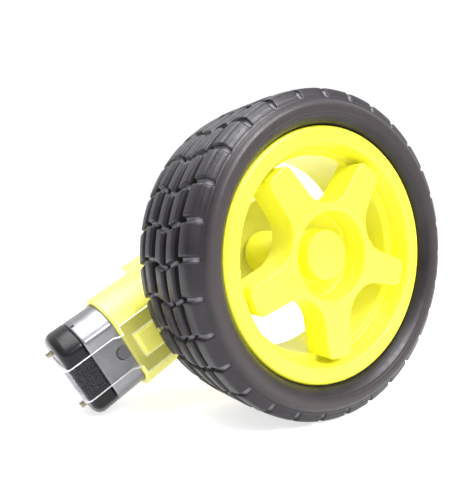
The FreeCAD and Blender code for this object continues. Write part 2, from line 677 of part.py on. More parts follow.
def strap():
    """Clear strap that hooks on both lugs and holds the motor in its socket."""
    head_y = SLEEVE_HALF_Y + 0.05
    neck_y = CAN_FLAT + 0.05
    end = MOTOR_BACK + 0.05
    thick = STRAP_THICK
    outer = [(STRAP_HEAD[0], head_y + thick), (SLEEVE_BACK + 0.2, head_y + thick),
             (STRAP_STEP, neck_y + thick), (end + thick, neck_y + thick)]
    inner = [(end, neck_y), (STRAP_STEP, neck_y), (SLEEVE_BACK + 0.2, head_y), (STRAP_HEAD[0], head_y)]
    half = [V(-back, y, 0) for back, y in outer]
    half_inner = [V(-back, y, 0) for back, y in inner]
    loop = half + [V(p.x, -p.y, 0) for p in reversed(half)]
    loop += [V(p.x, -p.y, 0) for p in reversed(half_inner)] + half_inner
    band = Part.Face(Part.makePolygon(loop + loop[:1])).extrude(V(0, 0, 2 * STRAP_HEAD_HALF_Z))
    band.translate(V(0, 0, -STRAP_HEAD_HALF_Z))
    bends = [edge for edge in band.Edges if len(edge.Vertexes) == 2
             and abs(edge.Vertexes[0].Point.z - edge.Vertexes[1].Point.z) > 1
             and edge.Vertexes[0].Point.x < -end - 0.5 * thick]
    band = band.makeFillet(thick * 0.95, bends)
    trims = []
    for side in (-1, 1):
        low, high = sorted((side * STRAP_HALF_Z, side * 20))
        trims.append(block(STRAP_HEAD[1], end + 5, -20, 20, low, high))
    gap = STRAP_WINDOW_GAP
    window = block(LUG[0] - gap, LUG[1] + gap, -20, 20, -LUG_HALF_Z - gap, LUG_HALF_Z + gap)
    return cut_all(band, trims + [window])


# ---- write the part --------------------------------------------------------------------

def stand(shape):
    """Bench position to row frame: droop about the axle, then origin to the inner face."""
    placed = shape.copy()
    placed.rotate(V(0, 0, 0), V(0, 1, 0), -droop_angle())
    placed.translate(V(0, -CASE_HALF_Y, 0))
    return placed


def wheel_stand(shape):
    """The wheel is drawn upright already, so it only moves along the axle."""
    placed = shape.copy()
    placed.translate(V(0, -CASE_HALF_Y, 0))
    return placed


def main():
    wheel_side, inner_side = case_halves()
    barrel, cup, boss = rim_barrel(), star_cup(), rim_boss()
    upright = {"tyre": tyre(), "tyre_foam": tyre_foam(), "rim_barrel": barrel,
               "rim_arms": rim_arms(cup, barrel), "rim_centre": rim_centre(cup, boss),
               "rim_boss": boss}
    drooped = {
        "case_wheel_side": wheel_side, "case_inner_side": inner_side, "case_screws": case_screws(),
        "output_shaft": output_shaft(), "free_shaft_stub": free_shaft_stub(),
        "middle_gear": middle_gear(), "lay_gear": lay_gear(), "crown_gear": crown_gear(),
        "idler_pin": idler_pin(), "motor_pinion": motor_pinion(), "motor_can": motor_can(),
        "motor_end_cap": motor_end_cap(), "terminals": terminals(), "brushes": brushes(),
        "front_bushing": bushing(MOTOR_FACE - NOSE, MOTOR_FACE + CAN_WALL),
        "rear_bushing": bushing(CAN_BACK + 1.7, MOTOR_BACK - 1.0),
        "magnets": magnets(), "armature_core": armature_core(), "windings": windings(),
        "commutator": commutator(), "rotor_shaft": rotor_shaft(), "strap": strap()}
    placed = {name: wheel_stand(shape) for name, shape in upright.items()}
    placed.update({name: stand(shape) for name, shape in drooped.items()})
    for name, shape in placed.items():
        if not shape.isValid():
            print("not valid:", name)
        shape.exportStep("parts/" + name + ".step")
        print(name, len(shape.Solids), round(shape.Volume, 1))
    print("droop", round(droop_angle(), 3), "axle gap", AXLE_GAP)


main()
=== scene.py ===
"""Looks of the geared drive wheel: tyre, rim, gearbox, motor and clear strap in a light studio.

Lengths in the tables below are millimetres; MM turns them into the frame's metres.
Wheel sizes use "out", the distance from the tyre's middle plane towards its outer side.
Motor sizes use "back", the distance behind the axle along the motor's axis.
"""

import bpy
import json
import math
from mathutils import Matrix, Vector


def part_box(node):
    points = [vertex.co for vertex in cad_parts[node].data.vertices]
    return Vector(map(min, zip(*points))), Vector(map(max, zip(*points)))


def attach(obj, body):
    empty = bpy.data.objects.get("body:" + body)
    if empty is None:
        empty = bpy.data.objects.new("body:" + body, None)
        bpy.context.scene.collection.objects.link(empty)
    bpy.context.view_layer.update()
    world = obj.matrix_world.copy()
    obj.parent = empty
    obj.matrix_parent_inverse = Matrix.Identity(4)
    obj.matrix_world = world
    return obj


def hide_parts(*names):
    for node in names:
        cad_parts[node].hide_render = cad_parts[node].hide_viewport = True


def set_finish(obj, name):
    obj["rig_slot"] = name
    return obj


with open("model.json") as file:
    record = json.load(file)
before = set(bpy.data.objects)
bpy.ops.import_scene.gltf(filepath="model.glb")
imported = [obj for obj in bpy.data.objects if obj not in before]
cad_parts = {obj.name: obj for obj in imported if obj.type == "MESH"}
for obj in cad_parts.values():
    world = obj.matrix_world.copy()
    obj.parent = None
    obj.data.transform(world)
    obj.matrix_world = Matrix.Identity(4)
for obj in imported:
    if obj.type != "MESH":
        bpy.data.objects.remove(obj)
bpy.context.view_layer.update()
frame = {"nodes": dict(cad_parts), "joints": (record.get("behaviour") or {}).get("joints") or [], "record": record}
NODES = frame["nodes"]

MM = 0.001

# ---- places taken from the frame -------------------------------------------------------

TYRE_LOW, TYRE_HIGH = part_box("tyre")
WHEEL_Y = (TYRE_LOW.y + TYRE_HIGH.y) / 2 / MM
FLOOR_Z = TYRE_LOW.z
CASE_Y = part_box("case_wheel_side")[1].y / MM
MOTOR_AXIS = Vector(next(j for j in frame["joints"] if j["name"] == "rotor_spin")["axis"])

# ---- tyre ------------------------------------------------------------------------------

TYRE_R = 32.5
PITCHES = 30             # cross channels round the tread
SLOT_DEPTH = 2.1         # slots run round the tyre, channels across it
CHANNEL_DEPTH = 0.95
CHANNEL_HALF = 0.52
WALL_RUN = 0.16          # how far a groove's wall leans over its depth
EDGE_ROUND = 0.22        # width of the rounding on a block's edge
EDGE_DROP = 0.05
PITCH_PHASE = 168.0      # degrees from +X towards +Z, where one cross channel lies

SLOTS = ((-7.4, -6.5), (-4.0, -1.75), (1.0, 2.8), (5.4, 7.4))      # out, from and to
# (out, degrees) by which a cross channel sways
ZIGZAG = ((-10.2, 2.2), (-5.2, -1.5), (1.6, 1.6), (7.5, -1.7), (11.0, -2.0))

# half of the tyre's section, (out, radius) from the tread's edge to the bead and inside
SHOULDER = ((10.1, 32.15), (10.45, 31.7), (10.8, 30.9), (11.1, 30.25))
SIDEWALL = ((11.28, 30.1), (11.32, 29.8), (11.62, 29.55), (12.1, 29.25), (12.38, 28.75),
            (12.36, 28.0), (12.1, 27.1), (11.6, 26.35), (10.95, 25.8), (10.3, 25.45),
            (9.0, 25.3), (8.85, 24.1))
BULGE_HIGHLIGHT_SHARES = ((26.3, 0.0), (27.4, 0.75), (28.4, 1.0), (29.3, 0.6), (29.7, 0.0))     # radius and share of the painted highlight on the sidewall's bulge
HOLLOW = ((6.3, 24.1), (9.0, 27.6), (8.6, 29.9))
CROWN_HALF = 6.0         # the tread is flat to here and falls to the shoulder from here
INSIDE_R = 30.0          # the zigzag only sways what lies outside this radius
SHOULDER_SHARES = (1.0, 1.0, 0.8, 0.25)     # the cross channels' depth fades over the shoulder
BLOCK_ROWS = (0.2, 0.4, 0.6, 0.8)           # rows of points along one block

# ---- rim and gearbox -------------------------------------------------------------------

RIM_NODES = ["rim_barrel", "rim_arms", "rim_centre", "rim_boss"]
WELD_GAP = 0.002
VOXEL = 0.25
RIM_ROUNDS = 6           # rounds of smoothing
CASE_ROUNDS = 3
EASE_FACTOR = 0.5

# ---- motor and strap -------------------------------------------------------------------

MOTOR_FACE = 24.1        # back of the can's front face
CAN_BACK = 44.1          # back of the can's rear edge
MOTOR_BACK = 49.2        # back of the cap's rear face
CAN_R = 10.05
CAN_FLAT = 7.55          # from the motor's axis to each flat side
CAN_ROUND = 0.7
CAN_ROUND_STEPS = 5
CAP_ROUND = 2.0
CAP_ROUND_STEPS = 8
CAN_WALL = (0.9, 0.6)    # at the front and at the rear
# (behind the can's rear edge, smaller than the can all round), forwards along its side
CAN_SIDE = ((0.0, 0.15), (-0.12, 0.0), (-0.5, 0.0), (-3.0, 0.0), (-18.0, 0.0))
# (behind the can's front, radius) of the bearing's nose, and then of its bore
CAN_NOSE = ((0.0, 3.6), (0.0, 3.05), (-1.5, 3.0), (-1.5, 2.2), (0.6, 2.2))
# (behind the can's rear edge, smaller than the can all round), from inside the can outwards
CAP_SEAT = ((-2.0, 0.7), (0.0, 0.7), (0.02, 0.25), (0.25, 0.02), (0.6, 0.0))
# (behind the cap's rear face, radius) of the ring and the hollow in its middle
CAP_BOSS = ((0.0, 4.2), (-0.35, 3.9), (-0.35, 3.1), (-0.05, 2.8), (0.0, 2.6), (0.0, 1.3), (-0.9, 1.2))
CAN_DIMPLE = (38.4, -7.55, 0.0)      # back, y and up of the marks on the motor
CAN_CRIMP = (43.4, -3.0, 9.6)
CAP_MARK = (48.4, -7.55, 0.2)
SECTION_POINTS = 160
SECTION_CRISP = 6.0      # higher is a crisper edge between the flats and the round sides

SLEEVE_HALF = 9.3        # half the thickness of the gearbox's sleeve over the flats
STRAP_THICK = 0.7
STRAP_GAP = 0.05         # between the strap and what it lies on
STRAP_NECK = 4.0         # half width over the motor
STRAP_HIGHLIGHT_BAND = 0.35       # a strip whose middle is closer to the edge than this takes the edge's painted highlight
STRAP_STEP = 38.8        # back of the place where it comes down onto the can
STRAP_BEND = 1.3
STRAP_BEND_STEPS = 6
STRAP_REAR_Y = 3.0       # a point between the two bends, either side of the middle
STRAP_ROUND = 0.1
STRAP_CREASE = 50.0      # degrees; sharper edges than this are rounded
STRAP_WINDOW = (30.3, 35.4, 2.8)     # back from and to, and half height, of the hole for the lug
STRAP_HEAD_BACKS = (27.6, 30.3, 35.4, 37.0, 37.7)
STRAP_UPS = (-6.0, -5.7, -4.0, -3.6, -2.8, 0.0, 2.8, 3.6, 4.0, 5.7, 6.0)


# ---- helpers ---------------------------------------------------------------------------

def mix(a, b, share):
    return a + (b - a) * share


def along(table, at):
    """Straight-line reading of a table of (place, value) pairs, in rising order."""
    for (p, v), (q, w) in zip(table, table[1:]):
        if at <= q:
            return mix(v, w, min(max((at - p) / (q - p), 0.0), 1.0))
    return table[-1][1]


def bench(back, y, up):
    """A point placed by its distance behind the axle, as the motor lies, in metres."""
    x = -MOTOR_AXIS * back
    lift = Vector((-MOTOR_AXIS.z, 0, MOTOR_AXIS.x)) * up
    return (x + lift) * MM + Vector((0, CASE_Y * MM + y * MM, 0))


def wheel_point(angle, radius, out):
    """A point of the wheel; the angle is in degrees from +X towards +Z."""
    turn = math.radians(angle)
    return Vector((radius * math.cos(turn), WHEEL_Y - out, radius * math.sin(turn))) * MM


def new_object(name, points, faces, body, slot, smooth=True):
    mesh = bpy.data.meshes.new(name)
    mesh.from_pydata([tuple(p) for p in points], [], faces)
    mesh.validate()
    mesh.polygons.foreach_set("use_smooth", [smooth] * len(mesh.polygons))
    piece = bpy.data.objects.new(name, mesh)
    bpy.context.scene.collection.objects.link(piece)
    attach(piece, body)
    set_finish(piece, slot)
    return piece


def grid_faces(rows, columns, close_rows, close_columns):
    """Quads of a grid whose points are stored row by row."""
    faces = []
    for r in range(rows if close_rows else rows - 1):
        below = (r + 1) % rows
        for c in range(columns if close_columns else columns - 1):
            beside = (c + 1) % columns
            faces.append((r * columns + c, r * columns + beside,
                          below * columns + beside, below * columns + c))
    return faces


def subdivide(piece, levels):
    rounder = piece.modifiers.new("rounder", "SUBSURF")
    rounder.levels = levels
    rounder.render_levels = levels


# ---- tyre ------------------------------------------------------------------------------

def groove_steps(start, end, depth):
    """(place, depth) pairs across a groove, with rounded lips and a flat floor."""
    return [(start - EDGE_ROUND, 0.0), (start, EDGE_DROP), (start + WALL_RUN, depth),
            ((start + end) / 2, depth), (end - WALL_RUN, depth), (end, EDGE_DROP),
            (end + EDGE_ROUND, 0.0)]


def tread_columns():
    """(out, radius, slot depth, share of the cross channel's depth) over the outer skin."""
    across = []
    for start, end in SLOTS:
        across += groove_steps(start, end, SLOT_DEPTH)
    edge_out, edge_r = SHOULDER[0]
    crown = ((0.0, TYRE_R), (CROWN_HALF, TYRE_R), (edge_out, edge_r))
    columns = [(out, along(crown, abs(out)), depth, 1.0) for out, depth in across]
    for side in (-1, 1):
        flank = [(side * out, radius, 0.0, share)
                 for (out, radius), share in zip(SHOULDER, SHOULDER_SHARES)]
        flank += [(side * out, radius, 0.0, 0.0) for out, radius in SIDEWALL]
        inside = [(side * out, radius, 0.0, 0.0) for out, radius in HOLLOW]
        if side > 0:
            columns = columns + flank + inside
        else:
            columns = inside[::-1] + flank[::-1] + columns
    return columns


def tread_rows():
    """(degrees within one pitch, channel depth) along the tread."""
    degrees = math.degrees(1 / TYRE_R)
    steps = [(place * degrees, depth) for place, depth in
             groove_steps(-CHANNEL_HALF, CHANNEL_HALF, CHANNEL_DEPTH)]
    start, pitch = steps[-1][0], 360.0 / PITCHES
    end = pitch + steps[0][0]
    steps += [(mix(start, end, share), 0.0) for share in BLOCK_ROWS]
    return steps


def tyre_piece():
    columns = tread_columns()
    pitch_rows = tread_rows()
    points, slot_shade, channel_light_share, bulge_highlight_share = [], [], [], []
    for pitch in range(PITCHES):
        for degrees, channel in pitch_rows:
            for out, radius, slot, share in columns:
                depth = max(slot, channel * share)
                slot_shade.append(slot / SLOT_DEPTH)
                channel_light_share.append(0.0 if slot > EDGE_DROP else channel * share / CHANNEL_DEPTH)
                bulge_highlight_share.append(along(BULGE_HIGHLIGHT_SHARES, radius))
                sway = along(ZIGZAG, out) if radius > INSIDE_R else 0.0
                angle = PITCH_PHASE + pitch * 360.0 / PITCHES + degrees + sway
                points.append(wheel_point(angle, radius - depth, out))
    faces = grid_faces(PITCHES * len(pitch_rows), len(columns), True, True)
    piece = new_object("tyre_tread", points, faces, "wheel", "tyre_rubber")
    # slot carries the slots' painted shade, channel the channel floors' painted light, bulge the sidewall's
    # painted highlight
    for name, values in (("slot", slot_shade), ("channel", channel_light_share), ("bulge", bulge_highlight_share)):
        piece.data.attributes.new(name, "FLOAT", "POINT").data.foreach_set("value", values)
    subdivide(piece, 1)
    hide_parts("tyre")
    return piece


# ---- moulded pieces --------------------------------------------------------------------

def softened(nodes, name, body, slot, rounds):
    """One copy of CAD pieces that are one moulding, with its edges eased."""
    points, faces = [], []
    for node in nodes:
        mesh = NODES[node].data
        start = len(points)
        points += [vertex.co.copy() for vertex in mesh.vertices]
        faces += [tuple(start + index for index in polygon.vertices) for polygon in mesh.polygons]
    piece = new_object(name, points, faces, body, slot)
    weld = piece.modifiers.new("weld", "WELD")
    weld.merge_threshold = WELD_GAP * MM
    even = piece.modifiers.new("even_mesh", "REMESH")
    even.mode = "VOXEL"
    even.voxel_size = VOXEL * MM
    even.use_smooth_shade = True
    ease = piece.modifiers.new("eased_edges", "SMOOTH")
    ease.factor = EASE_FACTOR
    ease.iterations = rounds
    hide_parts(*nodes)
    return piece


# ---- motor -----------------------------------------------------------------------------

def flat_section(back, radius, flat):
    """Ring of points round the motor's axis: a circle, with two eased flats unless flat is None."""
    ring = []
    for index in range(SECTION_POINTS):
        turn = 2 * math.pi * index / SECTION_POINTS
        reach = radius
        if flat is not None:
            to_flat = min(flat / max(abs(math.cos(turn)), 0.01), 3 * radius)
            both = math.exp(-SECTION_CRISP * radius) + math.exp(-SECTION_CRISP * to_flat)
            reach = -math.log(both) / SECTION_CRISP
        ring.append(bench(back, reach * math.cos(turn), reach * math.sin(turn)))
    return ring


def loft(name, sections, body, slot, closed):
    """Skin over sections of (back, radius, flat); closed joins the last section to the first."""
    points = []
    for section in sections:
        points += flat_section(*section)
    faces = grid_faces(len(sections), SECTION_POINTS, closed, True)
    if not closed:
        last = len(points) - SECTION_POINTS
        faces.append(tuple(range(SECTION_POINTS))[::-1])
        faces.append(tuple(range(last, len(points))))
    return new_object(name, points, faces, body, slot)


def rounded_end(back, radius, flat, ease, steps):
    """Sections that turn a side into an end face through a quarter circle."""
    sections = []
    for index in range(steps + 1):
        turn = math.radians(90.0 * index / steps)
        inset = ease * (1 - math.cos(turn))
        sections.append((back - ease * (1 - math.sin(turn)), radius - inset, flat - inset))
    return sections


def can_section(back, inset):
    """Section of the can's outline, smaller all round by the inset."""
    return (back, CAN_R - inset, CAN_FLAT - inset)


def motor_can_piece():
    front = rounded_end(-MOTOR_FACE, CAN_R, CAN_FLAT, CAN_ROUND, CAN_ROUND_STEPS)
    outer = [can_section(CAN_BACK + behind, inset) for behind, inset in CAN_SIDE]
    outer += [(-back, radius, flat) for back, radius, flat in front]
    nose = [(MOTOR_FACE + behind, radius, None) for behind, radius in CAN_NOSE]
    inside_front = MOTOR_FACE + CAN_NOSE[-1][0]
    inner = [can_section(inside_front, CAN_WALL[0]), can_section(CAN_BACK, CAN_WALL[1])]
    piece = loft("motor_can_drawn", outer + nose + inner, "gearmotor", "can_steel", True)
    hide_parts("motor_can")
    return piece


def end_cap_piece():
    seat = [can_section(CAN_BACK + behind, inset) for behind, inset in CAP_SEAT]
    rear = rounded_end(MOTOR_BACK, CAN_R, CAN_FLAT, CAP_ROUND, CAP_ROUND_STEPS)
    boss = [(MOTOR_BACK + behind, radius, None) for behind, radius in CAP_BOSS]
    piece = loft("motor_end_cap_moulded", seat + rear + boss, "gearmotor", "cap_black", False)
    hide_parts("motor_end_cap")
    return piece


# ---- strap -----------------------------------------------------------------------------

def strap_path():
    """(back, y) of the strap's middle line, from one head round the end cap to the other."""
    above = STRAP_GAP + STRAP_THICK / 2
    head_y = SLEEVE_HALF + above
    neck_y = CAN_FLAT + above
    end = MOTOR_BACK + above
    half = [(back, head_y) for back in STRAP_HEAD_BACKS]
    half += [(STRAP_STEP, neck_y), (STRAP_STEP + 3, neck_y), (CAN_BACK, neck_y)]
    for index in range(STRAP_BEND_STEPS + 1):
        turn = math.radians(90.0 * index / STRAP_BEND_STEPS)
        half.append((end - STRAP_BEND + STRAP_BEND * math.sin(turn),
                     neck_y - STRAP_BEND + STRAP_BEND * math.cos(turn)))
    half.append((end, STRAP_REAR_Y))
    return half + [(back, -y) for back, y in reversed(half)]


def strap_piece():
    path = strap_path()
    points = [bench(back, y, up) for back, y in path for up in STRAP_UPS]
    faces, edge_highlit = [], []
    last = len(path) - 1
    for row in range(last):
        middle_back = (path[row][0] + path[row + 1][0]) / 2
        for column in range(len(STRAP_UPS) - 1):
            up = (STRAP_UPS[column] + STRAP_UPS[column + 1]) / 2
            wide = STRAP_HEAD_BACKS[0] < middle_back < STRAP_HEAD_BACKS[-2]
            in_window = STRAP_WINDOW[0] < middle_back < STRAP_WINDOW[1] and abs(up) < STRAP_WINDOW[2]
            if in_window or (abs(up) > STRAP_NECK and not wide):
                continue
            base = row * len(STRAP_UPS) + column
            faces.append((base, base + 1, base + 1 + len(STRAP_UPS), base + len(STRAP_UPS)))
            half_width = STRAP_NECK if middle_back > STRAP_STEP else STRAP_UPS[-1]
            # strips along the edges take the strap_edge material, a painted highlight
            edge_highlit.append(half_width - STRAP_HIGHLIGHT_BAND < abs(up) < half_width)
    piece = new_object("strap_clear_band", points, faces, "gearmotor", "strap_clear", smooth=False)
    piece.data.polygons.foreach_set("material_index", [int(flag) for flag in edge_highlit])
    skin = piece.modifiers.new("thickness", "SOLIDIFY")
    skin.thickness = STRAP_THICK * MM
    skin.offset = 0.0
    skin.use_even_offset = True
    skin.material_offset_rim = 1
    edge = piece.modifiers.new("eased_edges", "BEVEL")
    edge.width = STRAP_ROUND * MM
    edge.segments = 2
    edge.limit_method = "ANGLE"
    edge.angle_limit = math.radians(STRAP_CREASE)
    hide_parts("strap")
    return piece


# ---- materials -------------------------------------------------------------------------

RUBBER_SKIN = ((0.007, 0.005, 0.008), (0.016, 0.013, 0.018))
BULGE_PAINTED_HIGHLIGHT = (0.042, 0.034, 0.036, 1)       # painted highlight on the sidewall's bulge
# painted light: the cross channels' floors made lighter as if lit
CHANNEL_PAINTED_LIGHT = (0.17, 0.16, 0.19, 1)
# painted shade in the deep slots
SLOT_PAINTED_SHADE = (0.001, 0.001, 0.001, 1)
RUBBER_ROUGH = (0.32, 0.44)
SLOT_ROUGH = 0.95

RIM_SHADES = ((0.80, 0.78, 0.04), (0.88, 0.86, 0.06))
CASE_SHADES = ((0.68, 0.66, 0.11), (0.77, 0.75, 0.16))
CASE_PAINTED_GLOW = (1.0, 0.95, 0.2, 1)       # colour of the case's glow, painted light that lifts its shaded sides
GLOW_REACH = (1.0, 0.85, 0.1)                # how far red, green and blue spread under the skin
GLOW_DEPTH = 2.0
FOAM_SHADES = ((0.6, 0.6, 0.56), (0.8, 0.8, 0.76))
GEAR_SHADES = ((0.82, 0.81, 0.76), (0.9, 0.9, 0.86))
CAP_SHADES = ((0.003, 0.003, 0.004), (0.008, 0.008, 0.010))

CAN_SHADES = ((0.22, 0.22, 0.235), (0.28, 0.28, 0.30))
# painted shade in the dimple on the flat
DIMPLE_PAINTED_SHADE = (0.12, 0.12, 0.13, 1)
# painted shade in the crimp near the cap
CRIMP_PAINTED_SHADE = (0.03, 0.03, 0.03, 1)

STRAP_SMOKE = (0.05, 0.045, 0.06, 1)         # face on
STRAP_GLANCING_SHEEN = (0.66, 0.64, 0.78, 1)           # painted sheen at glancing angles
STRAP_ALPHA = (0.13, 0.36)
# painted highlight along the strap's edges
STRAP_EDGE_PAINTED_HIGHLIGHT = (0.95, 0.95, 0.97, 1)

# slot, darkest and lightest shade, roughness from and to, stretch of the streaks
PLAIN_METALS = (
    ("screw_steel", ((0.50, 0.50, 0.52), (0.66, 0.66, 0.68)), (0.3, 0.5), (1, 1, 1)),
    ("shaft_steel", ((0.55, 0.55, 0.57), (0.7, 0.7, 0.72)), (0.15, 0.3), (1, 20, 1)),
    ("brass", ((0.30, 0.25, 0.18), (0.42, 0.36, 0.26)), (0.25, 0.4), (1, 8, 1)),
    ("copper", ((0.65, 0.30, 0.16), (0.80, 0.42, 0.24)), (0.3, 0.45), (1, 12, 1)),
    ("bronze", ((0.42, 0.30, 0.18), (0.56, 0.42, 0.26)), (0.45, 0.6), (1, 1, 1)),
    ("ferrite", ((0.05, 0.05, 0.055), (0.1, 0.1, 0.11)), (0.5, 0.7), (1, 1, 1)),
    ("core_steel", ((0.25, 0.25, 0.27), (0.38, 0.38, 0.4)), (0.4, 0.55), (0.5, 20, 20)),
)


class Recipe:
    """A node material; sizes of its noises are in millimetres on the object."""

    def __init__(self, name):
        self.material = bpy.data.materials.new(name)
        self.material.use_nodes = True
        self.tree = self.material.node_tree
        self.shader = self.tree.nodes["Principled BSDF"]
        self.fixed = self.add("TexCoord").outputs["Object"]
        self.place = self.fixed

    def add(self, kind, **settings):
        node = self.tree.nodes.new("ShaderNode" + kind)
        for key, value in settings.items():
            setattr(node, key, value)
        return node

    def feed(self, socket, value):
        if isinstance(value, bpy.types.NodeSocket):
            self.tree.links.new(value, socket)
        else:
            socket.default_value = value

    def noise(self, size, detail, stretch=(1, 1, 1)):
        mapping = self.add("Mapping")
        self.feed(mapping.inputs["Vector"], self.place)
        mapping.inputs["Scale"].default_value = [1 / (size * MM * axis) for axis in stretch]
        texture = self.add("TexNoise")
        self.feed(texture.inputs["Vector"], mapping.outputs["Vector"])
        texture.inputs["Scale"].default_value = 1.0
        texture.inputs["Detail"].default_value = detail
        return texture.outputs["Fac"]

    def turned(self):
        """Lays the noises along the motor's axis instead of the object's X."""
        node = self.add("VectorRotate", rotation_type="Y_AXIS")
        self.feed(node.inputs["Vector"], self.place)
        node.inputs["Angle"].default_value = math.atan2(MOTOR_AXIS.z, MOTOR_AXIS.x)
        self.place = node.outputs["Vector"]

    def rings(self, size):
        """Noise that only changes with the distance from the axle."""
        apart = self.add("SeparateXYZ")
        self.feed(apart.inputs["Vector"], self.place)
        flat = self.add("CombineXYZ")
        self.feed(flat.inputs["X"], apart.outputs["X"])
        self.feed(flat.inputs["Z"], apart.outputs["Z"])
        reach = self.add("VectorMath", operation="LENGTH")
        self.feed(reach.inputs[0], flat.outputs["Vector"])
        texture = self.add("TexNoise", noise_dimensions="1D")
        self.feed(texture.inputs["W"], reach.outputs["Value"])
        texture.inputs["Scale"].default_value = 1 / (size * MM)
        return texture.outputs["Fac"]

    def spot(self, centre, radius, soft):
        """One inside a ball round a point, falling to nought over the soft width."""
        apart = self.add("VectorMath", operation="DISTANCE")
        self.feed(apart.inputs[0], self.fixed)
        apart.inputs[1].default_value = centre
        return self.spread(apart.outputs["Value"], 1.0, 0.0, radius * MM, (radius + soft) * MM)

    def layer(self, under, over, share):
        """One colour over another, by a share from nought to one."""
        node = self.add("Mix", data_type="RGBA")
        self.feed(node.inputs["Factor"], share)
        self.feed(node.inputs[6], under)
        self.feed(node.inputs[7], over)
        return node.outputs[2]

    def attribute(self, name):
        return self.add("Attribute", attribute_name=name).outputs["Fac"]

    def spread(self, value, low, high, start=0.3, end=0.7):
        """Maps a value from one range onto another."""
        node = self.add("MapRange")
        for key, number in (("Value", value), ("From Min", start), ("From Max", end),
                            ("To Min", low), ("To Max", high)):
            self.feed(node.inputs[key], number)
        return node.outputs["Result"]

    def tint(self, value, colours):
        """Colour between two shades, by a noise."""
        ramp = self.add("ValToRGB")
        for element, colour, stop in zip(ramp.color_ramp.elements, colours, (0.3, 0.7)):
            element.position = stop
            element.color = (*colour, 1)
        self.feed(ramp.inputs["Fac"], value)
        return ramp.outputs["Color"]

    def bump(self, height, depth, normal=None):
        """Normal from a height map whose full range is depth millimetres."""
        node = self.add("Bump")
        node.inputs["Distance"].default_value = depth * MM
        node.inputs["Strength"].default_value = 1.0
        self.feed(node.inputs["Height"], height)
        if normal is not None:
            self.feed(node.inputs["Normal"], normal)
        return node.outputs["Normal"]

    def so_far(self, name):
        """What feeds a socket of the shader already, to build on."""
        return self.shader.inputs[name].links[0].from_socket

    def set(self, **values):
        for key, value in values.items():
            self.feed(self.shader.inputs[key.replace("_", " ")], value)


def tyre_rubber():
    """Satin rubber: faint turned rings, slots painted black as painted shade, cross-channel floors painted lighter
    as painted light, and a painted highlight on the sidewall's bulge.
    """
    recipe = Recipe("tyre_rubber")
    skin = recipe.tint(recipe.noise(4.0, 5), RUBBER_SKIN)
    # painted highlight on the sidewall's bulge
    highlit = recipe.layer(skin, BULGE_PAINTED_HIGHLIGHT, recipe.attribute("bulge"))
    # painted light on the cross channels' floors
    in_channel = recipe.spread(recipe.attribute("channel"), 0, 0.8, 0.4, 1)
    channel_lit = recipe.layer(highlit, CHANNEL_PAINTED_LIGHT, in_channel)
    # painted shade in the slots, which also turn rougher
    in_slot = recipe.spread(recipe.attribute("slot"), 0, 1, 0.05, 0.7)
    worn = recipe.spread(recipe.noise(1.2, 4), *RUBBER_ROUGH)
    grain = recipe.bump(recipe.noise(0.25, 2), 0.025)
    recipe.set(Base_Color=recipe.layer(channel_lit, SLOT_PAINTED_SHADE, in_slot),
               Roughness=recipe.spread(in_slot, worn, SLOT_ROUGH, 0, 1),
               Specular_IOR_Level=0.36,
               Normal=recipe.bump(recipe.rings(0.6), 0.10, grain))
    return recipe.material


def moulded_plastic(name, shades, rough, glow=0.0, depth=0.02):
    """Injection-moulded plastic: faint flow clouds, an uneven gloss and a fine mould texture."""
    recipe = Recipe(name)
    recipe.set(Base_Color=recipe.tint(recipe.noise(9.0, 3), shades),
               Roughness=recipe.spread(recipe.noise(0.8, 4), *rough),
               Normal=recipe.bump(recipe.noise(0.3, 3), depth))
    if glow:
        recipe.set(Subsurface_Weight=glow, Subsurface_Radius=GLOW_REACH,
                   Subsurface_Scale=GLOW_DEPTH * MM)
    return recipe


def rim_yellow():
    return moulded_plastic("rim_yellow", RIM_SHADES, (0.30, 0.42), glow=0.12).material


def case_yellow():
    recipe = moulded_plastic("case_yellow", CASE_SHADES, (0.26, 0.38), glow=0.4)
    # a faint glow of painted light that lifts the case's shaded sides
    recipe.set(Emission_Color=CASE_PAINTED_GLOW, Emission_Strength=0.07)
    return recipe.material


def metal(name, shades, rough, streak, depth=0.008):
    """Worked metal: streaks along the direction it was drawn or turned in, and dull patches."""
    recipe = Recipe(name)
    recipe.turned()
    streaks = recipe.noise(0.5, 2, streak)
    recipe.set(Base_Color=recipe.tint(recipe.noise(3.0, 4), shades),
               Roughness=recipe.spread(streaks, *rough),
               Normal=recipe.bump(streaks, depth), Metallic=1.0)
    return recipe


def can_steel():
    """Drawn and nickel-plated steel, with a pressed dimple on one flat and a crimp at the cap, both darkened with
    painted shade.
    """
    recipe = metal("can_steel", CAN_SHADES, (0.28, 0.38), (60, 1, 1), 0.001)
    pressed = recipe.spot(bench(*CAN_DIMPLE), 1.3, 0.35)
    crimp = recipe.spot(bench(*CAN_CRIMP), 0.35, 0.2)
    # painted shade in the dimple and in the crimp
    dimple_shaded = recipe.layer(recipe.so_far("Base Color"), DIMPLE_PAINTED_SHADE,
                           recipe.spread(pressed, 0, 0.6, 0, 1))
    sunk = recipe.spread(pressed, 0.5, 0.0, 0, 1)
    recipe.set(Base_Color=recipe.layer(dimple_shaded, CRIMP_PAINTED_SHADE, crimp),
               Normal=recipe.bump(sunk, 0.3, recipe.so_far("Normal")))
    return recipe.material


def cap_black():
    """Black satin nylon with a round ejector mark at the rear edge of its flat."""
    recipe = moulded_plastic("cap_black", CAP_SHADES, (0.22, 0.30), depth=0.001)
    sunk = recipe.spread(recipe.spot(bench(*CAP_MARK), 1.35, 0.12), 0.6, 0.0, 0, 1)
    recipe.set(Normal=recipe.bump(sunk, 0.6, recipe.so_far("Normal")), Specular_IOR_Level=0.25)
    return recipe.material


